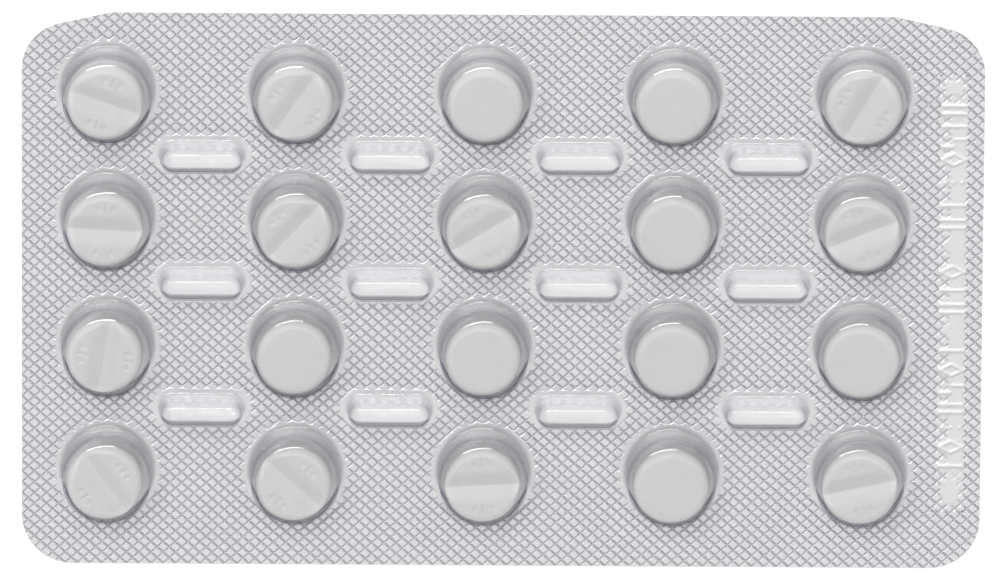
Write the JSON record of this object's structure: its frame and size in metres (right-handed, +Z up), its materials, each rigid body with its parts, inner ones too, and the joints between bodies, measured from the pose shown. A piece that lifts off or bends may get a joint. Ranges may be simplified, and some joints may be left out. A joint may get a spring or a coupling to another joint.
{
  "type": "pill blister pack",
  "caption": "Flat push-through blister pack: clear formed film with round pockets and stiffening ribs, knurled foil back, and a round tablet in each pocket.",
  "frame": {"origin": "middle of the sheet on the underside of the foil, which is what the pack rests on", "axes": "+X along the length, towards the strip of pressed marks; +Y across, towards the edge with the slanted corners; +Z up, the way the pockets stand"},
  "size_m": [0.1006, 0.06, 0.0054],
  "materials": {
    "clear_film": "clear glossy PVC film, formed and knurled where it is sealed",
    "foil": "bright hard aluminium foil with a diamond sealing knurl",
    "tablet": "pressed white powder, matt with a slight sheen"
  },
  "bodies": {
    "root": {"blister_film": "clear_film", "lidding_foil": "foil", "tablet_r1_c1": "tablet", "tablet_r1_c2": "tablet", "tablet_r1_c3": "tablet", "tablet_r1_c4": "tablet", "tablet_r1_c5": "tablet", "tablet_r2_c1": "tablet", "tablet_r2_c2": "tablet", "tablet_r2_c3": "tablet", "tablet_r2_c4": "tablet", "tablet_r2_c5": "tablet", "tablet_r3_c1": "tablet", "tablet_r3_c2": "tablet", "tablet_r3_c3": "tablet", "tablet_r3_c4": "tablet", "tablet_r3_c5": "tablet", "tablet_r4_c1": "tablet", "tablet_r4_c2": "tablet", "tablet_r4_c3": "tablet", "tablet_r4_c4": "tablet", "tablet_r4_c5": "tablet"}
  },
  "joints": []
}
